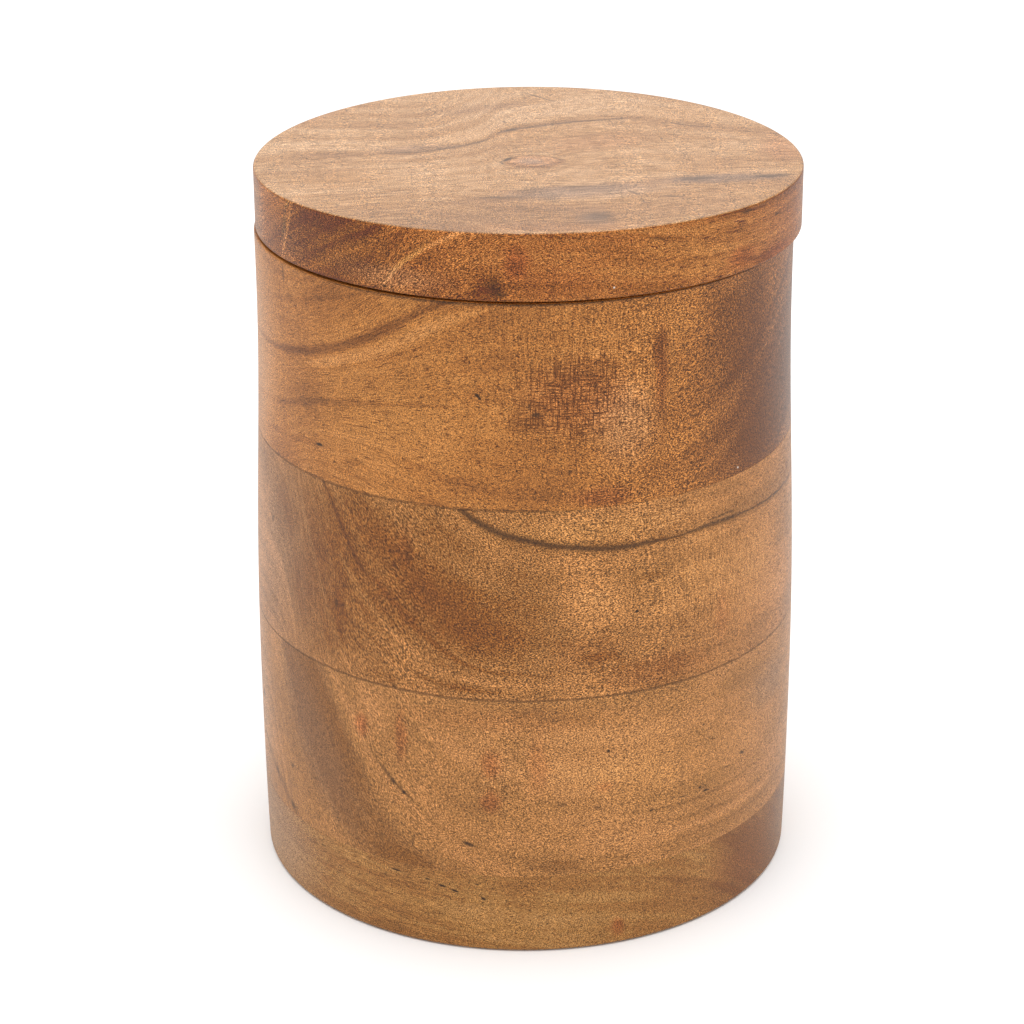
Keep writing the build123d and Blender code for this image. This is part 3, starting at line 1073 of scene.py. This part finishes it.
lid_top_reach = 60.0
lid_top_shades = (
    "7c542b", "875e37", "93683d", "9b6f43", "a1774b", "a67d54", "ab835b", "b08963", "b58f69",
)
lid_top_figure = Figure(
    reach=lid_top_reach,
    guides=(
        (
            (-60, 1), (-50, 2), (-40, 1.4), (-30, 1.4), (-22, 1.8), (-18, 3), (-13, 6), (-9, 9),
            (-7, 12), (-5, 16), (-2, 18.6), (5, 22), (10, 24.4), (20, 27.4), (26, 26.2), (32, 24),
            (40, 21.6), (60, 18),
        ),
        (
            (-60, -32), (-50, -30), (-35, -28), (-20, -26), (-5, -27), (10, -25), (20, -22.4),
            (30, -20.4), (40, -18.4), (60, -12),
        ),
    ),
    grain_turn=98,
    gloss=0.5,
    ramp=lid_top_shades,
    contrast=1.3,
    fineness=1.4,
    pores=1.4,
    speckle=0.0,
    shades=(
        Spot(-21, 5, 12, 3.6, 12, -0.4),
        Spot(-42, 3.5, 12, 3, 0, -0.2),
        Spot(10, -26, 20, 5, 12, -0.4),
        Spot(38, -17.5, 20, 4.4, 12, -0.45),
        Spot(-2, -30, 8, 5, 0, -0.18),
        Spot(-8, -33, 11, 3, 8, -0.3),
        Spot(13, -45, 6, 6, 0, -0.4),
        Spot(-8, 36, 17, 5, 22, -0.3),
        Spot(-28, 25, 8, 4, 0, -0.08),
        Spot(2, -6, 6.6, 5.6, 0, -0.4, 0.8),
        Spot(2, -5.4, 5.4, 4.2, 0, 0.5, 0.7),
        Spot(1.2, -6.4, 2.8, 2.4, 0, -0.3, 0.5),
        Spot(3, -0.4, 4.0, 1.6, 0, 0.3),
        Spot(16, -8, 9, 4, 10, -0.14),
        Spot(-34, -42, 24, 10, -30, -0.04),
        Spot(0, -46, 46, 14, 0, -0.3),
        Spot(0, 44, 46, 20, 0, 0.16),
        Spot(-44, -6, 12, 22, 0, -0.06),
        Spot(-10, 14, 10, 8, 0, 0.06),
        Spot(36, 32, 16, 8, 0, 0.04),
        Spot(-37, -16, 10, 8, 0, -0.08),
        Spot(46, -28, 10, 6, 0, 0.16),
        Spot(30, 48, 22, 6, -30, -0.1),
    ),
    bands=(
        Stroke(-0.26, 0.0, (
            (-52, 1.6, -0.1), (-40, 2, 2.0), (-30, 3, 4.0), (-22, 4, 4.6), (-13, 8, 3.4),
            (-8, 11.5, 2.8), (-4, 17, 3.4), (4, 22, 2.6), (14, 26, 2.2), (24, 28.6, 1.2),
            (27, 29, -0.1),
        )),
        Stroke(-0.24, 0.0, (
            (-52, -30, -0.1), (-44, -28.2, 1.0), (-35, -27.6, 1.2), (-27, -26.8, 1.0), (-18, -23, -0.1),
        )),
        Stroke(-0.16, 0.0, (
            (20, 27, -0.1), (28, 25.8, 1.0), (34, 23, 1.2), (40, 21.4, 0.9), (54, 20, 0.4),
        )),
        Stroke(-0.12, 0.0, ((-50, 8, -0.1), (-40, 8.6, 0.9), (-28, 8.2, -0.1))),
        Stroke(-0.12, 0.0, ((-34, 13, -0.1), (-20, 15.4, 0.7), (-8, 16.6, -0.1))),
    ),
    lines=(
        Stroke(0.7, 0.0, (
            (-34, 1.2, -0.1), (-26, 1.5, 0.8), (-20, 2.5, 1.2), (-17, 3.8, 1.3), (-13, 6, 1.6),
            (-9, 9, 1.5), (-7, 11.4, 0.6), (-6, 13, -0.1),
        )),
        Stroke(0.75, 0.0, (
            (-6, 15.6, -0.1), (-3.5, 17.4, 1.4), (0, 19.6, 1.1), (5, 22, 0.9), (10, 24.4, 0.9),
            (18, 26.8, 0.8), (25, 29, -0.1),
        )),
        Stroke(0.4, 0.0, ((27, 25.8, -0.1), (33, 23.4, 0.9), (36, 21.6, 0.8), (44, 20.6, -0.1))),
    ),
    marks=(
        Spot(3.5, 45.5, 8.0, 0.4, -52, 0.5),
        Spot(28.2, 11.8, 0.5, 0.8, 0, 0.6),
        Spot(-46.8, 14.8, 0.4, 0.8, 0, 0.45),
        Spot(-8, 38.4, 0.4, 0.8, 0, 0.4),
        Spot(-4, 24.8, 0.5, 1.2, 20, 0.4),
        Spot(28, -30.2, 2.6, 0.8, -8, 0.45),
        Spot(21.2, -28.4, 3.6, 0.6, -55, 0.35),
        Spot(22.6, -34, 3.4, 0.45, -80, 0.35),
        Spot(-3.3, -4.4, 2.8, 0.9, 62, 0.6),
        Spot(-4.3, -7, 1.8, 0.5, -80, 0.35),
        Spot(6.4, -3.6, 2.8, 0.5, -58, 0.25),
        Spot(4.6, -8.4, 2.4, 0.8, 24, 0.3),
        Spot(33, -17.8, 6.0, 1.8, 10, 0.34),
        Spot(48, -14.8, 6.5, 1.5, 16, 0.42),
        Spot(-4, -31, 9, 1.4, 6, 0.22),
        Spot(13.5, -44, 4.0, 3.0, 20, 0.26),
        Spot(8, -24.5, 6, 1.2, 14, 0.2),
        Spot(5, -32, 2.5, 5, 10, 0.16),
        Spot(1, -26, 4, 3, 0, 0.16),
        Spot(-27.5, -27.4, 2.5, 0.5, 8, 0.3),
        Spot(-2.5, 18.6, 2.2, 0.7, 34, 0.4),
    ),
    reds=(
        Spot(2, -6, 6.6, 5.4, 0, 0.22, 0.5),
        Spot(-46, 34, 10, 18, -40, 0.14),
        Spot(52, 6, 6, 14, 0, 0.22),
        Spot(10, -52, 40, 6, 0, 0.12),
        Spot(-46, -34, 14, 6, -45, 0.14),
        Spot(14, 8, 16, 8, 20, 0.12),
    ),
    golds=(
        Spot(-36, -16, 14, 9, 0, 0.3),
        Spot(32, 32, 14, 7, 0, 0.2),
        Spot(-14, 52, 20, 5, 10, 0.2),
        Spot(-30, -34, 10, 5, 10, 0.2),
        Spot(0, 15, 34, 10, 14, 0.2),
        Spot(48, -28, 12, 7, 0, 0.25),
    ),
    greys=(
        Spot(1.2, -6, 3.0, 2.7, 0, 0.5, 0.4),
        Spot(12, -27, 22, 7, 12, 0.5),
        Spot(38, -17, 20, 5, 12, 0.5),
        Spot(13, -45, 5, 7, 0, 0.3),
        Spot(-22, 5, 12, 4, 10, 0.25),
        Spot(-8, 36, 16, 6, 22, 0.16),
    ),
)
plug_shades = ("754516", "815020", "8d5b2c", "976434", "a26d3b", "a97341", "af7947", "b6804c", "bc8754")
plug_grain_turn = 20

# Cast silicone. Dust lies on it in clouds, and its fine skin is drawn as coarse as it needs to show
cloud_size = (6.0, 6.0, 3.0)
skin_size = (0.8, 0.8, 0.8)
skin_depth = 0.03 * MM
silicone_ior = 1.41
light_depth = 1.0 * MM


def silicone():
    """Cast silicone: milky, soft and slightly see-through, with a skin that dust dulls in patches."""
    material, put = new_material("milky_cast_silicone")
    point = scaled(put, put("TexCoord").outputs["Object"], (MM, MM, MM))
    clouds = put("TexNoise", {"Vector": scaled(put, point, cloud_size), "Scale": 1.0, "Detail": 3.0})
    skin = put("TexNoise", {"Vector": scaled(put, point, skin_size), "Scale": 1.0})
    milky = {0: clouds, 6: linear("d9d5ca"), 7: linear("eae7df")}
    colour = put("Mix", milky, data_type="RGBA").outputs[2]
    dusty = {"Value": clouds, "From Min": 0.3, "From Max": 0.7, "To Min": 0.3, "To Max": 0.45}
    bump = put("Bump", {"Strength": 0.2, "Distance": skin_depth, "Height": skin})
    feeds = {"Base Color": colour, "Roughness": put("MapRange", dusty), "Normal": bump}
    feeds.update({"IOR": silicone_ior, "Subsurface Weight": 0.25, "Subsurface Scale": light_depth})
    put("OutputMaterial", {"Surface": put("BsdfPrincipled", feeds)})
    return material


# Studio: a pale floor that runs out of sight, and soft light from all round, in metres
floor_reach = 8.0
floor_drop = 0.0001
sky_strength = 0.85


def add_floor():
    """A wide round sheet of matt white paper."""
    shape = bmesh.new()
    bmesh.ops.create_circle(shape, cap_ends=True, radius=floor_reach, segments=96)
    bmesh.ops.translate(shape, vec=(0, 0, -floor_drop), verts=shape.verts[:])
    mesh = bpy.data.meshes.new("floor")
    shape.to_mesh(mesh)
    shape.free()
    material, put = new_material("white_paper_floor")
    paper = put("BsdfPrincipled", {"Base Color": linear("f7f7f7"), "Roughness": 0.9})
    put("OutputMaterial", {"Surface": paper})
    mesh.materials.append(material)
    floor = bpy.data.objects.new("floor", mesh)
    bpy.context.scene.collection.objects.link(floor)


def add_softbox(name, place, target, width, height, power):
    """A soft rectangle of light at a place, facing a target, in metres and watts."""
    light = bpy.data.lights.new(name, "AREA")
    light.shape = "RECTANGLE"
    light.size = width
    light.size_y = height
    light.energy = power
    lamp = bpy.data.objects.new(name, light)
    lamp.location = place
    lamp.rotation_euler = (Vector(target) - Vector(place)).to_track_quat("-Z", "Y").to_euler()
    lamp.visible_camera = False
    bpy.context.scene.collection.objects.link(lamp)


def add_sky():
    """An even white light from all round."""
    world = bpy.data.worlds.new("white_studio")
    world.use_nodes = True
    world.node_tree.nodes.clear()
    put = partial(add_node, world.node_tree)
    glow = put("Background", {"Color": linear("ffffff"), "Strength": sky_strength})
    put("OutputWorld", {"Surface": glow})
    bpy.context.scene.world = world


add_floor()
add_sky()
add_softbox("overhead", (0.0, -0.1, 1.0), target=(0, 0, 0.1), width=1.0, height=1.0, power=8.0)
add_softbox("behind", (0.0, 1.5, 0.75), target=(0, 0, 0.15), width=2.4, height=0.9, power=4.5)

# A face belongs to the side, the top or the underside when it leans at least this much that way
clear_lean = 0.7


def is_outside(face):
    """True for a face of a turned side, whichever way it was rounded over."""
    centre = face.calc_center_median()
    lean = face.normal.x * centre.x + face.normal.y * centre.y
    return lean > clear_lean * math.hypot(centre.x, centre.y)


def lid_face_kind(face):
    """The underside, the side or the top of the lid, as the number of its material."""
    if face.normal.z > clear_lean:
        return 2
    return 0 if face.normal.z < -clear_lean else 1


def capped_section(side, low, high):
    """Half section of a disc whose side runs up from low to high, and how many points lie under it."""
    under = [(radius, low) for radius in stepped(0, side[0][0])[:-1]]
    over = [(radius, high) for radius in stepped(side[-1][0], 0)[1:]]
    return under + side + over, len(under)


def add_board(name, node, figure, low_edge, high_edge, bore=bore_radius, mouth_edge=joint_round):
    """One board of the body, cut from the turned outside, either bored through or solid."""
    low, high = heights[node]
    side = [(outside_radius(level), level) for level in stepped(low, high)]
    if bore:
        inner = [(bore, level) for level in stepped(high, low)]
        rounded = {0: low_edge, len(side) - 1: high_edge, len(side): mouth_edge}
        rounded[len(side) + len(inner) - 1] = joint_round
        shape = turned_piece(side + inner, rounded, is_ring=True)
    else:
        section, first = capped_section(side, low, high)
        rounded = {first: low_edge, first + len(side) - 1: high_edge}
        shape = turned_piece(section, rounded, is_ring=False)
    outside = figured_wood(name + "_side_oiled_hardwood", figure)
    inside = plain_wood(name + "_inside_oiled_hardwood", figure.ramp, figure.grain_turn)
    finished(shape, name, "jar", node, [inside, outside], is_outside)


def add_lid_board():
    """The lid: one round board, cupped so that its top falls a little to the left and right."""
    side = [(lid_radius, level) for level in stepped(lid_low, lid_high)]
    section, first = capped_section(side, lid_low, lid_high)
    rounded = {first: lid_bottom_round, first + len(side) - 1: lid_top_round}
    shape = turned_piece(section, rounded, is_ring=False)
    for point in shape.verts:
        share = (point.co.z - lid_low) / (lid_high - lid_low)
        point.co.z -= lid_crown * share * (point.co.x / lid_radius) ** 2
    bmesh.ops.translate(shape, vec=(lid_centre, 0, 0), verts=shape.verts[:])
    inside = plain_wood("lid_underside_oiled_hardwood", plug_shades, lid_top_figure.grain_turn)
    side_wood = figured_wood("lid_side_oiled_hardwood", lid_side_figure, centre=lid_centre)
    top_wood = figured_wood("lid_top_oiled_hardwood", lid_top_figure, is_flat=True)
    finished(shape, "lid_board", "lid", "lid_disc", [inside, side_wood, top_wood], lid_face_kind)


def add_lid_plug():
    """The plug under the lid, with the groove that holds the seal."""
    groove_low, groove_high = seal_low - seal_slack, seal_high + seal_slack
    side = [(plug_radius, plug_low), (plug_radius, groove_low), (groove_radius, groove_low)]
    side += [(groove_radius, groove_high), (plug_radius, groove_high), (plug_radius, lid_low)]
    section, first = capped_section(side, plug_low, lid_low)
    rounded = {first: plug_round, first + 1: groove_round, first + 4: groove_round, first + 5: joint_round}
    shape = turned_piece(section, rounded, is_ring=False)
    wood = plain_wood("plug_sanded_hardwood", plug_shades, plug_grain_turn)
    finished(shape, "turned_plug", "lid", "lid_plug", [wood])


def add_seal():
    """The seal: a flat band in the groove, with two soft lips that reach for the bore."""
    band_inner = groove_radius + seal_slack
    band_outer = plug_radius - seal_slack
    lip_middle = seal_low + lip_root / 2
    lower_lip = [
        (seal_radius, lip_middle - lip_tip / 2),
        (seal_radius, lip_middle + lip_tip / 2),
        (band_outer, seal_low + lip_root),
    ]
    upper_lip = [(radius, seal_low + seal_high - level) for radius, level in reversed(lower_lip)]
    section = [(band_inner, seal_low), (band_outer, seal_low), *lower_lip]
    section += [*upper_lip, (band_outer, seal_high), (band_inner, seal_high)]
    rounded = {0: seal_round, **dict.fromkeys((2, 3, 6, 5), lip_round), len(section) - 1: seal_round}
    shape = turned_piece(section, rounded, is_ring=True)
    finished(shape, "moulded_seal", "seal", "seal_ring", [silicone()])


add_board("base_board", "base_disc", base_figure, foot_round, closed_joint_round, bore=0)
add_board("lower_board", "lower_ring", lower_figure, closed_joint_round, joint_round)
add_board("middle_board", "middle_ring", middle_figure, joint_round, joint_round)
add_board("upper_board", "upper_ring", upper_figure, joint_round, rim_round, mouth_edge=mouth_round)
add_lid_board()
add_lid_plug()
add_seal()
